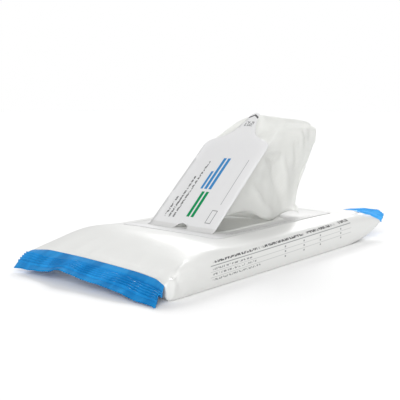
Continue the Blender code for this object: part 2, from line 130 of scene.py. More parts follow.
def smooth(t):
    t = clamp(t)
    return t * t * (3 - 2 * t)


def through(points, at):
    """The value at a place on the smooth curve through (place, value) points, which never overshoots."""
    if at <= points[0][0]:
        return points[0][1]
    if at >= points[-1][0]:
        return points[-1][1]
    i = max(k for k in range(len(points) - 1) if points[k][0] <= at)
    grades = [(q[1] - p[1]) / (q[0] - p[0]) for p, q in zip(points, points[1:])]

    def slope(k):
        a, b = grades[max(k - 1, 0)], grades[min(k, len(grades) - 1)]
        return 2 * a * b / (a + b) if a * b > 0 else 0.0

    run = points[i + 1][0] - points[i][0]
    t = (at - points[i][0]) / run
    turn = run * (t * (1 - t) ** 2 * slope(i) - t * t * (1 - t) * slope(i + 1))
    return mix(points[i][1], points[i + 1][1], t * t * (3 - 2 * t)) + turn


def bulge(t, shape):
    """Rises from 0 to 1 like the quarter of a rounded square."""
    return (1 - (1 - clamp(t)) ** shape) ** (1 / shape)


def waves(x, y, size, seed):
    """Soft seeded noise from -1 to 1, with waves of about the given size."""
    return noise.noise(Vector((x / size, y / size, seed * 7.3)))


def base_x(end, across):
    return end * (HALF_LENGTH - TOOTH - SEAL_WIDTH * (1 - through(BASE_STRAY[end], across)))


def top_height(x):
    """The height of the flat middle of the top, with the air cushion near the left end."""
    puff = math.exp(-(((x - CUSHION_X) / CUSHION_LENGTH) ** 2))
    return PACK_HEIGHT + CUSHION_HEIGHT * puff - DROOP * clamp((x - 0.0756) / 0.055)


def half_width(x, across):
    """Half the sleeve's width. Its near left corner is drawn in where the gusset folds under the seal."""
    drawn = 1 - bulge((x - base_x(LEFT, across)) / 0.016, 2)
    return HALF_WIDTH - CORNER_DRAW * drawn * smooth((-0.2 - across) / 0.8)


def sagging(x, y):
    """1 round the opening, 0 at the flap's crease, beyond its tip and at the label's long edges."""
    along = smooth((x - CREASE_X) / 0.024) * smooth((CREASE_X + FLAP_LENGTH - x) / 0.037)
    return along * smooth((FLAP_WIDTH / 2 + FRAME_BORDER - abs(y)) / FRAME_BORDER)


def film_heights(x, across):
    """The sleeve's (top, bottom) heights, with the puckers that gather at its seals."""
    from_left, from_right = x - base_x(LEFT, across), base_x(RIGHT, across) - x
    middle = SIDE_LINE
    middle += (through(BASE_HEIGHT[LEFT], across) - SIDE_LINE) * (1 - bulge(from_left / 0.040, 1.3))
    middle += (through(BASE_HEIGHT[RIGHT], across) - SIDE_LINE) * (1 - bulge(from_right / 0.030, 1.3))
    left_slope = 0.038 + 0.020 * smooth((across + 0.3) / 1.2)
    rise = bulge(from_left / left_slope, 1.7) * bulge(from_right / 0.030, 1.8)
    sink = bulge(from_left / 0.005, 2.6) * bulge(from_right / 0.055, 1.5)
    upper, lower = middle + SEAL_THICKNESS / 2, middle - SEAL_THICKNESS / 2
    edge = min(abs(across), 1)
    top = upper + (top_height(x) - upper) * rise * (1 - edge**5) ** 0.2
    turn = clamp((edge - 0.965) / 0.035)
    bottom = lower * (1 - sink * (1 - turn**2.2) ** (1 / 2.2))
    y = across * HALF_WIDTH
    top -= SAG * sagging(x, y)
    inside = 1 - edge**6
    left_fade = math.exp(-from_left / 0.011) * smooth(from_left / 0.003)
    right_fade = math.exp(-from_right / 0.012) * smooth(from_right / 0.003)
    pucker = 0.0008 * waves(y, x * 0.25, 0.013, 1) + 0.0004 * waves(y, x * 0.2, 0.005, 2)
    trough = 0.0016 * math.exp(-(((from_left - 0.006) / 0.005) ** 2)) * smooth((0.5 - across) / 0.9)
    swell = 0.00035 * waves(x, y, 0.035, 3) * smooth(from_left / 0.02) * smooth(from_right / 0.02)
    top += inside * (pucker * (left_fade + right_fade) - trough + swell)
    return top, bottom


def film_top(x, y):
    return film_heights(x, y / HALF_WIDTH)[0]


def spread(i, count, squareness):
    """Place i of count + 1 across the sleeve, crowded towards its sides where it is square."""
    even = 2 * i / count - 1
    return mix(even, math.sin(even * math.pi / 2), squareness)


def add_ring(bm, points):
    """One closed ring of vertices from (x, y, top, bottom) places across the sleeve."""
    upper = [bm.verts.new((x, y, top)) for x, y, top, _ in points]
    lower = [bm.verts.new((x, y, bottom)) for x, y, _, bottom in points]
    return upper + lower[::-1]


def add_skin(bm, rings):
    for a, b in zip(rings, rings[1:]):
        for i in range(len(a)):
            j = (i + 1) % len(a)
            bm.faces.new((a[i], a[j], b[j], b[i]))


def add_closed_skin(bm, rings):
    add_skin(bm, rings)
    bm.faces.new(rings[0])
    bm.faces.new(rings[-1])


def rib_height(end, across, t):
    """The crimped ribs, the groove above them and the puckered band along the knife's edge. The left
    seal's far end is bowed up as well."""
    drift = 0.05 * waves(across, 0, 0.35, 5 + end)
    ribs = smooth((t - 0.34) / 0.06) * smooth((0.86 - t) / 0.06)
    height = RIB_HEIGHT * ribs * math.cos(2 * math.pi * (t + drift - 0.40) / RIB_PITCH)
    height -= GROOVE_DEPTH * math.exp(-(((t + drift - 0.33) / 0.045) ** 2)) * smooth((0.45 - across) / 0.9)
    height += 0.0005 * waves(across * HALF_WIDTH, 0, 0.007, 9 + end) * smooth((t - 0.8) / 0.1)
    if end == LEFT:
        height += 0.0022 * 4 * t * (1 - t) * smooth((across - 0.6) / 0.35)
    return height


def seal_ring(bm, end, t):
    points = []
    for i in range(AROUND + 1):
        across = spread(i, AROUND, 0.25)
        x = mix(base_x(end, across), end * (HALF_LENGTH - TOOTH), t)
        near = smooth((-0.2 - across) / 0.8)
        flare = 0.0017 * t if end == RIGHT else 0.0060 * t * near
        notch = 0.0023 * smooth((t - 0.46) / 0.05) * smooth((-0.93 - across) / 0.07)
        width = HALF_WIDTH if end == RIGHT else half_width(-HALF_LENGTH, across)
        y = across * (width + flare) + (notch if end == LEFT else 0)
        z = mix(through(BASE_HEIGHT[end], across), through(EDGE_HEIGHT[end], across), t)
        z += rib_height(end, across, t) * smooth(t / 0.05)
        if t == 1:
            x += end * (TOOTH if i % 2 else 0)
        points.append((x, y, z + SEAL_THICKNESS / 2, max(z - SEAL_THICKNESS / 2, 0)))
    return add_ring(bm, points)


def body_ring(bm, t, wall=0.0):
    """A ring of the sleeve between its seals. With a wall it is a ring of the hollow inside, which
    keeps farther from the film near the seals."""
    points = []
    count = AROUND if not wall else AROUND // 3
    for i in range(count + 1):
        crowding = 0.85 if wall else mix(0.25, 0.85, bulge(min(t, 1 - t) * 8, 2))
        across = spread(i, count, crowding)
        x = mix(base_x(LEFT, across), base_x(RIGHT, across), t)
        top, bottom = film_heights(x, across)
        taper = wall * (1 - abs(across) ** 16)
        deeper = 1 - smooth((min(t, 1 - t) - HOLLOW_START) / 0.12) if wall else 0
        side = across * (half_width(x, across) - wall - 0.0015 * deeper)
        points.append((x, side, top - taper - 0.0022 * deeper, bottom + taper))
    return add_ring(bm, points)


def add_piece(name, bm, *materials):
    mesh = bpy.data.meshes.new(name)
    bm.to_mesh(mesh)
    bm.free()
    mesh.shade_smooth()
    for mat in materials:
        mesh.materials.append(mat)
    piece = bpy.data.objects.new(name, mesh)
    bpy.context.scene.collection.objects.link(piece)
    return piece


def subtract(piece, name, bm):
    """Cuts a closed shape out of a piece. Without use_self a cut of the sleeve can fail and leave
    almost nothing of it, with no error."""
    bmesh.ops.recalc_face_normals(bm, faces=bm.faces)
    cutter = add_piece(name, bm)
    cut = piece.modifiers.new(name, "BOOLEAN")
    cut.object = cutter
    cut.use_self = True
    bpy.context.view_layer.update()
    mesh = bpy.data.meshes.new_from_object(piece.evaluated_get(bpy.context.evaluated_depsgraph_get()))
    piece.modifiers.clear()
    piece.data = mesh
    bpy.data.objects.remove(cutter)


class Signal:
    """One socket of a material's nodes. Operators on it add Math nodes, and node() adds any other."""

    def __init__(self, tree, socket=None):
        self.tree, self.socket = tree, socket

    def node(self, kind, settings=None, inputs=None, output=0):
        made = self.tree.nodes.new(kind)
        for name, value in (settings or {}).items():
            if name == "stops":
                for stop, (place, colour) in zip(made.color_ramp.elements, value):
                    stop.position, stop.color = place, (*colour, 1)
            else:
                setattr(made, name, value)
        for name, value in (inputs or {}).items():
            if isinstance(value, Signal):
                self.tree.links.new(value.socket, made.inputs[name])
            else:
                made.inputs[name].default_value = value
        return Signal(self.tree, made.outputs[output])

    def math(self, operation, *values):
        return self.node("ShaderNodeMath", {"operation": operation}, dict(enumerate(values)))

    def __add__(self, other):
        return self.math("ADD", self, other)

    def __sub__(self, other):
        return self.math("SUBTRACT", self, other)

    def __rsub__(self, other):
        return self.math("SUBTRACT", other, self)

    def __mul__(self, other):
        return self.math("MULTIPLY", self, other)

    __radd__, __rmul__ = __add__, __mul__

    def above(self, level, soft):
        """1 where the signal is above a level and 0 where it is below, with a soft edge."""
        limits = {"Value": self, "From Min": level - soft / 2, "From Max": level + soft / 2}
        return self.node("ShaderNodeMapRange", {"interpolation_type": "SMOOTHSTEP"}, limits)

    def within(self, low, high, soft):
        return self.above(low, soft) * (1 - self.above(high, soft))

    def blend(self, first, second):
        """The first colour where the signal is 0, the second where it is 1."""
        inputs = {0: self, 6: first, 7: second}
        return self.node("ShaderNodeMix", {"data_type": "RGBA"}, inputs, output=2)

    def noise(self, scale, detail=2.0, stretch=(1, 1, 1)):
        """Noise over the object's own coordinates, in waves per metre."""
        spot = self.node("ShaderNodeTexCoord", output=3)
        spot = self.node("ShaderNodeMapping", None, {"Vector": spot, "Scale": stretch})
        return self.node("ShaderNodeTexNoise", None, {"Vector": spot, "Scale": scale, "Detail": detail})


def new_finish(name, roughness, **constants):
    """A material, its empty signal and its shader."""
    mat = bpy.data.materials.new(name)
    mat.use_nodes = True
    shader = mat.node_tree.nodes["Principled BSDF"]
    shader.inputs["Roughness"].default_value = roughness
    for socket, value in constants.items():
        shader.inputs[socket.replace("_", " ")].default_value = value
    return mat, Signal(mat.node_tree), shader


def connect(signal, shader, socket):
    signal.tree.links.new(signal.socket, shader.inputs[socket])


def bump(height, strength, distance):
    inputs = {"Height": height, "Strength": strength, "Distance": distance}
    return height.node("ShaderNodeBump", None, inputs)


def let_through(colour, shader, share):
    """Lets a share of the light into the piece, so that it glows on its far side."""
    tree = colour.tree
    glow = colour.node("ShaderNodeBsdfTranslucent", None, {"Color": colour})
    surface = tree.nodes.new("ShaderNodeMixShader")
    surface.inputs[0].default_value = share
    tree.links.new(shader.outputs[0], surface.inputs[1])
    tree.links.new(glow.socket, surface.inputs[2])
    tree.links.new(surface.outputs[0], tree.nodes["Material Output"].inputs[0])


def coordinates(signal):
    """The x, y and z signals of a place on the pack, in metres."""
    spot = signal.node("ShaderNodeTexCoord", output=3)
    return [signal.node("ShaderNodeSeparateXYZ", None, {0: spot}, output=n) for n in range(3)]


def word_marks(along, line, seed, density=0.5):
    """Short dark marks of uneven length along a printed line, like words too small to read."""
    spot = along.node("ShaderNodeCombineXYZ", None, {0: along, 1: line, 2: seed})
    marks = along.node("ShaderNodeTexNoise", None, {"Vector": spot, "Scale": 700.0, "Detail": 0.0})
    return marks.above(1 - density, 0.12)


def ink(paper, mask, colour):
    """Prints a colour on a surface where the mask is 1."""
    return mask.blend(paper, (*colour, 1))


film_white, signal, shader = new_finish("white_film", 0.33, Specular_IOR_Level=0.3)
x, y, z = coordinates(signal)
haze = signal.noise(45.0, 3.0)
paper = haze.blend((0.765, 0.768, 0.752, 1), (0.79, 0.793, 0.777, 1))
# The ruled table printed on the near side, which rises a little towards the right
level = z - (x + 0.09) * 0.0205
near_side = 1 - y.above(-0.055, 0.002)
table = x.within(-0.088, 0.084, 0.0004) * near_side
for height, thickness, strength in (
    (0.0145, 0.00055, 0.75), (0.0108, 0.0003, 0.45), (0.0074, 0.0003, 0.45),
):
    rule = level.within(height - thickness / 2, height + thickness / 2, 0.0003) * table
    paper = ink(paper, rule * strength, (0.12, 0.13, 0.14))
words = word_marks(x, level * 0.6, 3.0, 0.55) * word_marks(x * 0.12, level * 0.02, 8.0, 0.62)
header = level.within(0.0160, 0.0174, 0.0003) * table * words
paper = ink(paper, header * 0.9, (0.03, 0.03, 0.035))
for height in (0.0118, 0.0086, 0.0052):
    row = level.within(height, height + 0.0012, 0.0003) * near_side
    entry = x.within(-0.086, -0.030 - height * 1.4, 0.0004) * word_marks(x, level, height * 900, 0.5)
    paper = ink(paper, row * entry * 0.7, (0.08, 0.085, 0.09))
    for column in (-0.009, 0.0147, 0.0369, 0.0668):
        tick = x.within(column, column + 0.0016, 0.0004)
        paper = ink(paper, row * tick * 0.7, (0.06, 0.065, 0.07))
connect(paper, shader, "Base Color")
connect(haze * 0.1 + 0.28, shader, "Roughness")
connect(bump(signal.noise(130.0, 4.0), 0.12, 0.0012), shader, "Normal")

seal_blue, signal, shader = new_finish("blue_printed_film", 0.30, Specular_IOR_Level=0.35)
streaks = signal.noise(60.0, 3.0, (0.6, 1.6, 1))
blue = streaks.above(0.5, 0.3).blend((0.0, 0.235, 0.62, 1), (0.015, 0.35, 0.80, 1))
# The right seal is painted a lighter blue than the left, though both are the same printed film: painted
# light.
blue = coordinates(signal)[0].above(0.05, 0.02).blend(blue, (0.06, 0.46, 0.95, 1))
connect(blue, shader, "Base Color")
let_through(blue, shader, 0.2)
connect(bump(signal.noise(500.0, 2.0), 0.15, 0.0004), shader, "Normal")

# The label is one die-cut sheet of white adhesive film. Its frame stays stuck round the opening, and
# its flap, with round shoulders and a narrow pull tab, is peeled up about the crease near the left end.
CREASE_X = -0.0454
FLAP_LENGTH = 0.122
FLAP_WIDTH = 0.0606
FLAP_ANGLE = math.radians(41.3)
FRAME_BORDER = 0.0137
FRONT_BORDER = 0.013
LABEL = 0.00015
DIE_CUT = 0.0006
HALF_MOON = 0.006
GAP = 0.0001
OPENING_BORDER = 0.005
OPENING_START = 0.0114
OPENING_END = 0.0878
OPENING_CUT = (0.014, 0.035)  # heights between which the opening is cut
CREASE_Z = film_top(CREASE_X, 0) + GAP

# The flap's far side, as shares of its length and of half its width: straight to a round shoulder,
# then hollow to a narrow pull tab with a round tip
FLAP_OUTLINE = [
    (0, 1), (0.60, 1), (0.685, 1), (0.712, 0.965), (0.735, 0.87), (0.751, 0.73), (0.765, 0.595),
    (0.783, 0.48), (0.81, 0.375), (0.845, 0.295), (0.885, 0.23), (0.925, 0.175), (0.965, 0.135),
    (0.988, 0.09), (1, 0),
]


def flap_side(outset=0.0, steps=72):
    """(s, y) points from near the crease's far end along the flap's far side to the tip of its tab."""
    shares = [1 - (1 - k / steps) ** 1.6 for k in range(steps + 1)]
    outline = [(FLAP_LENGTH * t, FLAP_WIDTH / 2 * through(FLAP_OUTLINE, t)) for t in shares]
    beyond_tip = (outline[-2][0], -outline[-2][1])
    points = []
    for before, here, after in zip(outline, outline[1:], outline[2:] + [beyond_tip]):
        along, down = after[0] - before[0], after[1] - before[1]
        length = math.hypot(along, down)
        points.append((here[0] - outset * down / length, here[1] + outset * along / length))
    return points


def rounded(corners, radii, steps=6):
    """A closed outline with its corners rounded."""
    outline = []
    for i, (corner, radius) in enumerate(zip(corners, radii)):
        corner = Vector(corner)
        back = (Vector(corners[i - 1]) - corner).normalized() * radius
        ahead = (Vector(corners[(i + 1) % len(corners)]) - corner).normalized() * radius
        for k in range(steps + 1):
            t = k / steps
            outline.append(tuple(corner + back * (1 - t) ** 2 + ahead * t**2))
    return outline


def opening_outline():
    """The opening's outline in (s, y), inside the flap's."""
    half = FLAP_WIDTH / 2 - OPENING_BORDER
    corners = [(OPENING_START, -half), (OPENING_START, half), (OPENING_END, half), (OPENING_END, -half)]
    return rounded(corners, (0.006, 0.006, 0.013, 0.013))


def add_sheet(bm, loops, tag, cell=0.003):
    """Fills flat (s, y) outlines and scores the sheet into small cells."""
    edges = []
    for loop in loops:
        verts = [bm.verts.new((s, y, 0)) for s, y in loop]
        edges += [bm.edges.new((a, b)) for a, b in zip(verts, verts[1:] + verts[:1])]
    made = bmesh.ops.triangle_fill(bm, use_beauty=True, edges=edges)["geom"]
    faces = [g for g in made if isinstance(g, bmesh.types.BMFace)]
    low = [min(v[n] for loop in loops for v in loop) for n in range(2)]
    high = [max(v[n] for loop in loops for v in loop) for n in range(2)]
    region = set(faces)
    for n in range(2):
        for k in range(1, int((high[n] - low[n]) / cell)):
            at, normal = [0, 0, 0], [0, 0, 0]
            at[n], normal[n] = low[n] + k * cell, 1
            geom = list(dict.fromkeys(g for f in region for g in (f, *f.edges, *f.verts)))
            cut = bmesh.ops.bisect_plane(bm, geom=geom, plane_co=at, plane_no=normal, dist=1e-7)
            region = {g for g in cut["geom"] if isinstance(g, bmesh.types.BMFace)}
    for f in region:
        f.material_index = tag
    return region


def flap_place(s, y, out=0.0):
    """A place on the peeled flap. It turns up over its first millimetres and bows a little."""
    bend = 0.003
    turned = FLAP_ANGLE * smooth(s / bend)
    u = min(s, bend)
    along_x = u * math.cos(turned / 2) + max(s - bend, 0) * math.cos(FLAP_ANGLE)
    along_z = u * math.sin(turned / 2) + max(s - bend, 0) * math.sin(FLAP_ANGLE)
    bow = 0.0009 * math.sin(math.pi * clamp(s / FLAP_LENGTH)) * (1 - (y / 0.03) ** 2)
    bow += 0.0003 * waves(s, y, 0.03, 12) * smooth(s / 0.02)
    out += bow
    x = CREASE_X + along_x - math.sin(turned) * out
    return Vector((x, y, CREASE_Z + along_z + math.cos(turned) * out))


def half_moon(inset=0.0):
    """(s, y) points round the half-moon at the flap's root, from its far side to its near side."""
    turns = [math.pi * k / 16 for k in range(1, 16)]
    return [(HALF_MOON * math.sin(turn) - inset, HALF_MOON * math.cos(turn)) for turn in turns]


def label_sheet():
    """The frame that stays down, with the half-moon left in its window, and the flap that is up."""
    bm = bmesh.new()
    die_line = flap_side(DIE_CUT)
    far_end = (0, FLAP_WIDTH / 2 + DIE_CUT)
    window = [far_end] + die_line + [(s, -y) for s, y in die_line[-2::-1]] + [(0, -far_end[1])]
    window += [(0, -HALF_MOON)] + half_moon(DIE_CUT)[::-1] + [(0, HALF_MOON)]
    half = FLAP_WIDTH / 2 + FRAME_BORDER
    start, stop = -FRONT_BORDER, FLAP_LENGTH + FRONT_BORDER
    outer = rounded([(stop, half), (start, half), (start, -half), (stop, -half)], 4 * [0.004])
    down = add_sheet(bm, [outer, window], 0)
    for v in {v for f in down for v in f.verts}:
        v.co.x += CREASE_X
        v.co.z = film_top(v.co.x, v.co.y) + GAP
    side = flap_side()
    outline = [(0, FLAP_WIDTH / 2)] + side + [(s, -y) for s, y in side[-2::-1]] + [(0, -FLAP_WIDTH / 2)]
    outline += [(0, -HALF_MOON)] + half_moon()[::-1] + [(0, HALF_MOON)]
    up = add_sheet(bm, [outline], 0)
    for v in {v for f in up for v in f.verts}:
        v.co = flap_place(v.co.x, v.co.y)
    for f in bm.faces:
        f.normal_update()
        if f.normal.z < 0:
            f.normal_flip()
    bmesh.ops.remove_doubles(bm, verts=bm.verts, dist=2e-5)
    return bm


def thicken(piece, thickness, offset=1):
    solid = piece.modifiers.new("thickness", "SOLIDIFY")
    solid.thickness = thickness
    solid.offset = offset


label_print, signal, shader = new_finish("printed_label", 0.45, Specular_IOR_Level=0.2)
x, y, z = coordinates(signal)
s = (x - CREASE_X) * math.cos(FLAP_ANGLE) + (z - CREASE_Z) * math.sin(FLAP_ANGLE)
lifted = (z - CREASE_Z - (x - CREASE_X) * 0.3).above(0.0012, 0.0004)
grain = signal.noise(220.0, 2.0)
paper = grain.blend((0.87, 0.87, 0.875, 1), (0.89, 0.89, 0.895, 1))
# The frame that stays down is painted darker grey than the flap, though it is the same paper: painted
# shade.
paper = lifted.blend((0.79, 0.79, 0.785, 1), paper)
# Plain bars along the flap, green and then blue
GREEN, BLUE = (0.0, 0.33, 0.11), (0.05, 0.29, 0.64)
for low, high, start, stop, colour in (
    (-0.0052, -0.0026, 0.0120, 0.0360, GREEN), (-0.0012, 0.0014, 0.0120, 0.0360, GREEN),
    (-0.0052, -0.0026, 0.0385, 0.0700, BLUE), (-0.0012, 0.0014, 0.0385, 0.0700, BLUE),
    (0.0028, 0.0050, 0.0385, 0.0560, BLUE),
):
    bar = y.within(low, high, 0.0004) * s.within(start, stop, 0.0004)
    paper = ink(paper, bar * lifted, colour)
for row, (start, stop) in {0.0208: (0.010, 0.030), 0.0168: (0.010, 0.050), 0.0128: (0.010, 0.066)}.items():
    line = y.within(row - 0.0008, row + 0.0008, 0.0003) * s.within(start, stop, 0.0004)
    paper = ink(paper, line * word_marks(s, y * 0.8, row * 800, 0.55) * lifted * 0.85, (0.05, 0.05, 0.055))
rule = y.within(-0.0217, -0.0212, 0.0003) * s.within(0.026, 0.070, 0.0003)
paper = ink(paper, rule * lifted * 0.6, (0.16, 0.17, 0.18))
outside = y.within(-0.0224, -0.0176, 0.0002) * s.within(0.0085, 0.0205, 0.0002)
inner = y.within(-0.0219, -0.0181, 0.0002) * s.within(0.0091, 0.0199, 0.0002)
paper = ink(paper, (outside - inner) * lifted * 0.75, (0.10, 0.10, 0.11))
# The arrow that shows which way to pull
reach = (s - 0.1185) + y.math("ABSOLUTE", y) * 0.75
arrow = reach.within(-0.0009, 0.0009, 0.0003) * (1 - y.math("ABSOLUTE", y).above(0.0045, 0.0003))
paper = ink(paper, arrow * lifted * 0.9, (0.05, 0.05, 0.055))
hint = word_marks(y, s * 0.8, 5.0, 0.5) * y.within(-0.004, 0.004, 0.0004) * s.within(0.1055, 0.1110, 0.0004)
paper = ink(paper, hint * lifted * 0.6, (0.15, 0.15, 0.16))
# Two lines of small print along the frame's near strip
strip = y.within(-0.0385, -0.0373, 0.0003) + y.within(-0.0411, -0.0399, 0.0003)
strip = strip * x.within(-0.040, 0.066, 0.0004) * (1 - lifted) * word_marks(x, y * 0.8, 9.0, 0.5)
paper = ink(paper, strip * 0.4, (0.25, 0.25, 0.26))
connect(paper, shader, "Base Color")
connect(bump(grain, 0.06, 0.0003), shader, "Normal")
let_through(paper, shader, 0.25)

label = add_piece("reseal_label_print", label_sheet(), label_print)
thicken(label, LABEL)
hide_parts("reseal_label")
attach(label, "root")


def press_fold(bm, start, end, depth, width):
    """Presses a crease into the film, or raises one where its depth is negative."""
    start, end = Vector(start), Vector(end)
    run = end - start
    for v in bm.verts:
        t = clamp((v.co - start).dot(run) / run.length_squared)
        gap = (v.co - start - run * t).length
        if gap < 3 * width:
            v.co -= v.normal * depth * math.exp(-((gap / width) ** 2)) * (1 - 0.6 * t)


def sleeve_skin():
    bm = bmesh.new()
    rings = [seal_ring(bm, LEFT, k / SEAL_RINGS) for k in range(SEAL_RINGS, 0, -1)]
    for k in range(RINGS_ALONG + 1):
        even = k / RINGS_ALONG
        rings.append(body_ring(bm, mix(even, (1 - math.cos(math.pi * even)) / 2, 0.75)))
    rings += [seal_ring(bm, RIGHT, k / SEAL_RINGS) for k in range(1, SEAL_RINGS + 1)]
    add_skin(bm, rings)
    bm.faces.ensure_lookup_table()
    per_ring = 2 * (AROUND + 1)
    for i, f in enumerate(bm.faces):
        k = i // per_ring
        f.material_index = 1 if k < SEAL_RINGS or k >= len(rings) - 1 - SEAL_RINGS else 0
    for edge_ring in (rings[0], rings[-1]):
        upper, lower = edge_ring[: AROUND + 1], edge_ring[AROUND + 1 :][::-1]
        for i in range(AROUND):
            f = bm.faces.new((upper[i], upper[i + 1], lower[i + 1], lower[i]))
            f.material_index = 1
    bmesh.ops.recalc_face_normals(bm, faces=bm.faces)
    bm.normal_update()
    # The gusset's folds fan out at the near left corner
    tuck = (-0.118, -0.0625, 0.0145)
    for end, depth in (
        ((-0.126, -0.061, 0.004), 0.0013), ((-0.120, -0.063, 0.003), -0.0010),
        ((-0.112, -0.0635, 0.005), 0.0013), ((-0.104, -0.0635, 0.0135), 0.0011),
        ((-0.106, -0.0600, 0.0200), -0.0011), ((-0.112, -0.0550, 0.0225), 0.0012),
        ((-0.124, -0.0600, 0.0180), 0.0012), ((-0.100, -0.0630, 0.0080), -0.0008),
    ):
        press_fold(bm, tuck, end, depth, 0.0016)
    # Shallower creases run in from the right seal
    for start, end, depth in (
        ((0.122, -0.050, 0.021), (0.099, -0.0635, 0.006), 0.0007),
        ((0.127, -0.058, 0.018), (0.108, -0.0635, 0.009), -0.0006),
        ((0.120, -0.040, 0.020), (0.095, -0.050, 0.0225), 0.0005),
        ((0.121, -0.020, 0.016), (0.098, -0.026, 0.0215), 0.0006),
    ):
        press_fold(bm, start, end, depth, 0.0018)
    return bm


sleeve = add_piece("film_sleeve_skin", sleeve_skin(), film_white, seal_blue)
hollow = bmesh.new()
hollow_places = [mix(HOLLOW_START, 1 - HOLLOW_START, k / HOLLOW_RINGS) for k in range(HOLLOW_RINGS + 1)]
add_closed_skin(hollow, [body_ring(hollow, t, FILM) for t in hollow_places])
subtract(sleeve, "hollow", hollow)
opening = bmesh.new()
add_closed_skin(opening, [
    [opening.verts.new((CREASE_X + s, y, z)) for s, y in opening_outline()] for z in OPENING_CUT
])
subtract(sleeve, "opening", opening)
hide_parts("film_sleeve")
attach(sleeve, "root")

# The panel is the piece of the sleeve's film that the opening leaves. It came up with the flap and
# stays stuck to its underside.
panel_sheet = bmesh.new()
for v in {v for f in add_sheet(panel_sheet, [opening_outline()], 0) for v in f.verts}:
    v.co = flap_place(v.co.x, v.co.y, -GAP - FILM)
bmesh.ops.recalc_face_normals(panel_sheet, faces=panel_sheet.faces)
panel_finish, signal, shader = new_finish("panel_film", 0.3)
haze = signal.noise(90.0, 3.0)
paper = haze.blend((0.80, 0.81, 0.79, 1), (0.85, 0.86, 0.84, 1))
connect(paper, shader, "Base Color")
let_through(paper, shader, 0.35)
connect(bump(signal.noise(160.0, 3.0), 0.2, 0.001), shader, "Normal")
panel = add_piece("opening_panel_film", panel_sheet, panel_finish)
thicken(panel, FILM * 0.8, 0)
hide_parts("opening_panel")
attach(panel, "root")

# The wipes lie folded in the sleeve, one on the other. Each is a damp white nonwoven, and the top one
# shows through the opening.
STACK_LENGTH = 0.208
STACK_HEIGHT = 0.0206
STACK_FLOOR = 0.0018
STACK_RINGS = 70
STACK_ACROSS = 40
LAYERS = 11
SIDE_STEPS = 4 * LAYERS
wipe_finish, signal, shader = new_finish("damp_nonwoven", 0.75, Specular_IOR_Level=0.3, Sheen_Weight=0.15)
fibres = signal.noise(900.0, 2.0, (1, 0.25, 1)) + signal.noise(900.0, 2.0, (0.25, 1, 1))
cloud = signal.noise(110.0, 3.0)
tint = (fibres * 0.4 + cloud * 0.2).blend((0.945, 0.95, 0.935, 1), (0.98, 0.98, 0.97, 1))
connect(tint, shader, "Base Color")
connect(bump(fibres, 0.25, 0.0002), shader, "Normal")
let_through(tint, shader, 0.6)


def folded_stack():
    """A block whose long sides show the rounded folds of its layers, with a rumpled top."""
    bm = bmesh.new()
    half = HALF_WIDTH - 0.0024
    bulges = [abs(math.sin(math.pi * j / SIDE_STEPS * LAYERS)) for j in range(SIDE_STEPS)]
    rings = []
    for k in range(STACK_RINGS + 1):
        t = k / STACK_RINGS
        x = mix(-STACK_LENGTH / 2, STACK_LENGTH / 2, t)
        drawn_in = 0.002 * (1 - smooth(min(t, 1 - t) / 0.015))
        room = mix(0.0011, 0.0034, smooth((abs(x) - 0.078) / 0.018))
        reach = half - 0.0012 - drawn_in
        places = [spread(i, STACK_ACROSS, 0.3) * reach for i in range(STACK_ACROSS + 1)]
        points = []
        for y in places:
            roof = min(STACK_HEIGHT, film_heights(x, y / HALF_WIDTH)[0] - room)
            roof += 0.00022 * waves(x, y, 0.012, 20) - 0.0002 - drawn_in
            points.append((x, y, roof))
        near_top, far_top = points[0][2], points[-1][2]
        sides = [half - 0.0008 - drawn_in + 0.0006 * out for out in bulges]
        for j in range(1, SIDE_STEPS):
            points.append((x, sides[j], mix(far_top, STACK_FLOOR, j / SIDE_STEPS)))
        for y in places:
            points.append((x, -y, film_heights(x, -y / HALF_WIDTH)[1] + STACK_FLOOR))
        for j in range(1, SIDE_STEPS):
            points.append((x, -sides[j], mix(STACK_FLOOR, near_top, j / SIDE_STEPS)))
        rings.append([bm.verts.new(p) for p in points])
    add_closed_skin(bm, rings)
    bmesh.ops.recalc_face_normals(bm, faces=bm.faces)
    return bm


stack = add_piece("folded_wipes", folded_stack(), wipe_finish)
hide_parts("wipes_stack")
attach(stack, "root")

# One wipe stands drawn up behind the flap: a near leaf, a narrow roof and a far leaf that goes down
# into the opening and lies on the rest. It is a sheet of damp nonwoven, 21 by 25 cm before folding.
WIPE = 0.0005
WIPE_ROOM = 0.0015
WIPE_ON_STACK = 0.0008
STEPS_ACROSS = 24
STEPS_ALONG = 12
SOFTENINGS = 6
NEAR_LEAF_Y = -0.0255


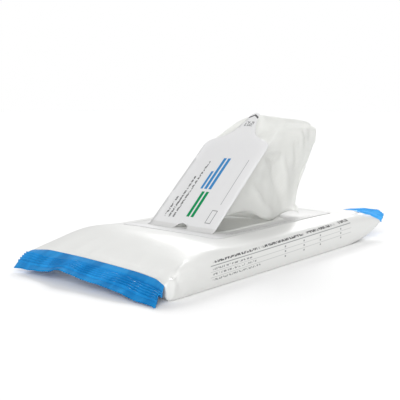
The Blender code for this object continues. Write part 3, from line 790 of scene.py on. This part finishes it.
def wipe_lines():
    """Near hem, near crease, roof fold, ridge, far crease and far hem, each from under the flap's root
    to the foot that lies on the label. Places are in millimetres, x and y from the crease's middle and
    z from its height; under the flap they are the distance from the crease and y."""
    unit = 0.001

    def under_flap(*places):
        return [flap_place(s * unit, y * unit, -WIPE_ROOM) for s, y in places]

    def above(*places):
        return [Vector((CREASE_X + x * unit, y * unit, CREASE_Z + z * unit)) for x, y, z in places]

    def in_opening(*places):
        z = STACK_HEIGHT + WIPE_ON_STACK
        return [Vector((CREASE_X + x * unit, y * unit, z)) for x, y in places]

    near_hem = above(
        (16.4, -25.5, 8.4), (25.4, -25, 9.1), (37.4, -25, 9.6), (49.4, -25, 8.0), (57.4, -25, 5.4),
        (65.4, -25, 1.6), (73.4, -24.6, -0.4), (80.0, -24, -0.8), (86.0, -24, 0.2), (91.0, -23.5, 1.3),
        (95.5, -24, 2.2), (99.0, -24.5, 2.9), (102.0, -25.5, 3.2), (104.0, -27, 3.2),
        (104.5, -30, 2.8), (102.0, -33.5, 1.5),
    )
    near_crease = under_flap((26, -26.3), (45, -26.5), (64, -26.8), (78, -27)) + above(
        (63.5, -27, 50.5), (70.4, -26.5, 55.0), (80.4, -26, 59.8), (91.4, -26, 62.0),
        (105.4, -26, 64.0), (121.4, -25.5, 66.4), (141, -23, 65.0), (142.5, -22, 57.0),
        (131, -21.5, 42.5), (118, -21.5, 24.0), (108, -22.5, 10.0), (106, -30, 5.5),
    )
    roof_fold = under_flap((26, -13), (46, -13), (68, -13), (86, -14), (96, -12)) + above(
        (88, -15.5, 66.7), (97, -15, 70.0), (108, -14, 72.0), (119, -14, 71.5), (131, -15, 69.8),
        (144, -17, 67.5), (147, -17, 60.0), (138, -17, 45.0), (124, -17, 26.0), (112, -18, 11.5),
        (109, -26, 7.0),
    )
    ridge = under_flap((26, 0), (46, -2), (70, -2), (90, -2.5), (108, -3)) + above(
        (91, -4, 77.4), (102, -6, 76.6), (113, -8, 75.0), (125, -9, 73.8), (138, -11, 72.4),
        (150, -12, 69.0), (152, -12, 60.0), (142, -12, 45.0), (128, -12, 26.0), (116, -14, 12.0),
        (111, -21, 7.5),
    )
    far_crease = under_flap(
        (26, 26.3), (45, 26.3), (66, 26.3), (86, 26.3), (98, 21.5), (112, 12.5),
    ) + above(
        (98, 13, 72.0), (110, 11, 71.0), (123, 9, 69.0), (136, 6, 66.0), (146, 2, 62.0),
        (146, 0, 53.0), (136, 0, 38.0), (122, 0, 22.0), (108, -3, 10.5), (106, -11, 6.5),
    )
    far_hem = above((23.4, 25, 8.0), (33, 24.3, 1.0)) + in_opening(
        (45, 23.5), (56, 22.5), (65, 21), (71, 18.5), (76, 15), (79, 11), (80.5, 7), (81.5, 3), (82.5, -1),
    )
    far_hem += above((88, -5, 0.5), (92, -7, 1.6), (97, -9, 2.2), (102, -12, 2.6), (105, -16, 2.8))
    return near_hem, near_crease, roof_fold, ridge, far_crease, far_hem


# Creases of the near leaf and, in the last four rows, of the far leaf. Each has the x and z where it
# starts and ends, how far it stands out, how wide it is and its y.
WIPE_FOLDS = [
    (Vector((x1, y, z1)), Vector((x2, y, z2)), ridge, width)
    for x1, z1, x2, z2, ridge, width, y in (
        (0.006, 0.050, 0.020, 0.035, 0.0030, 0.0035, NEAR_LEAF_Y),
        (0.020, 0.035, 0.037, 0.024, 0.0030, 0.0035, NEAR_LEAF_Y),
        (0.021, 0.075, 0.045, 0.0725, 0.0024, 0.0020, NEAR_LEAF_Y),
        (0.0185, 0.0707, 0.0354, 0.0666, -0.0022, 0.0020, NEAR_LEAF_Y),
        (0.0136, 0.066, 0.029, 0.0626, 0.0020, 0.0020, NEAR_LEAF_Y),
        (0.030, 0.060, 0.052, 0.030, -0.0022, 0.0030, NEAR_LEAF_Y),
        (0.044, 0.070, 0.058, 0.036, 0.0020, 0.0028, NEAR_LEAF_Y),
        (0.078, 0.091, 0.083, 0.080, 0.0022, 0.0018, NEAR_LEAF_Y),
        (0.0857, 0.0915, 0.089, 0.082, -0.0016, 0.0018, NEAR_LEAF_Y),
        (0.0694, 0.0888, 0.0744, 0.0737, 0.0022, 0.0020, NEAR_LEAF_Y),
        (0.060, 0.080, 0.068, 0.056, -0.0020, 0.0026, NEAR_LEAF_Y),
        (0.010, 0.070, 0.026, 0.040, 0.0024, 0.0030, 0.024),
        (0.028, 0.082, 0.048, 0.048, -0.0022, 0.0030, 0.018),
        (0.050, 0.088, 0.060, 0.060, 0.0022, 0.0026, 0.013),
        (0.064, 0.088, 0.080, 0.072, -0.0018, 0.0024, 0.009),
    )
]


def smooth_row(points, pieces):
    """Points along the smooth curve through a row of points."""
    tables = [[(k, p[n]) for k, p in enumerate(points)] for n in range(3)]
    count = (len(points) - 1) * pieces
    return [Vector([through(table, i / pieces) for table in tables]) for i in range(count + 1)]


def wipe_sheet():
    bm = bmesh.new()
    rows = [smooth_row(across, STEPS_ACROSS) for across in zip(*wipe_lines())]
    columns = [smooth_row(column, STEPS_ALONG) for column in zip(*rows)]
    grid = [[bm.verts.new(p) for p in column] for column in columns]
    for a, b in zip(grid, grid[1:]):
        for i in range(len(a) - 1):
            bm.faces.new((a[i], a[i + 1], b[i + 1], b[i]))
    inner = [v for v in bm.verts if not v.is_boundary]
    every_axis = {"use_axis_x": True, "use_axis_y": True, "use_axis_z": True}
    for _ in range(SOFTENINGS):
        bmesh.ops.smooth_vert(bm, verts=inner, factor=0.5, **every_axis)
    bmesh.ops.recalc_face_normals(bm, faces=bm.faces)
    bm.normal_update()
    away = Vector((math.sin(FLAP_ANGLE), 0, -math.cos(FLAP_ANGLE)))
    root = Vector((CREASE_X, 0, CREASE_Z))
    for v in inner:
        height = 0.0011 * waves(v.co.x + v.co.y, v.co.z, 0.022, 30)
        height += 0.0005 * waves(v.co.x, v.co.z * 1.5 + v.co.y, 0.008, 31)
        for start, end, ridge, width in WIPE_FOLDS:
            run = end - start
            t = clamp((v.co - start).dot(run) / run.length_squared)
            gap = (v.co - start - run * t).length
            height += ridge * math.exp(-gap / width) * math.sin(math.pi * mix(0.12, 0.88, t))
        v.co += v.normal * height * smooth(((v.co - root).dot(away) - 0.0016) / 0.005)
    return bm


wipe = add_piece("drawn_wipe", wipe_sheet(), wipe_finish)
thicken(wipe, WIPE, 0)
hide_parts("pulled_wipe")
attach(wipe, "root")

# The table is a plain pale studio floor. A white room lights it, with a key lamp behind the pack and
# a low fill lamp beside the camera.
floor_mesh = bmesh.new()
bmesh.ops.create_grid(floor_mesh, x_segments=2, y_segments=2, size=6)
floor_finish, signal, shader = new_finish("studio_floor", 1, Specular_IOR_Level=0)
seen = signal.node("ShaderNodeLightPath", output=0)
connect(seen.blend((0.86, 0.86, 0.86, 1), (1.0, 1.0, 1.0, 1)), shader, "Base Color")
floor = add_piece("studio_floor", floor_mesh, floor_finish)
floor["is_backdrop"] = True

world = bpy.data.worlds.new("white_room")
world.use_nodes = True
bpy.context.scene.world = world
signal = Signal(world.node_tree)
background = world.node_tree.nodes["Background"]
background.inputs["Color"].default_value = (1, 1, 1, 1)
ray = signal.node("ShaderNodeLightPath", output=0)
connect(ray * 0.56 + 0.44, background, "Strength")
for name, strength, softness, height, side in (
    ("key_softbox", 1.9, 28, 33, 56),
    ("fill_softbox", 2.2, 50, 24, -124),
):
    lamp_data = bpy.data.lights.new(name, "SUN")
    lamp_data.energy = strength
    lamp_data.angle = math.radians(softness)
    lamp = bpy.data.objects.new(name, lamp_data)
    lamp.rotation_euler = (math.radians(height - 90), 0, math.radians(-side))
    bpy.context.scene.collection.objects.link(lamp)

low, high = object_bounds()
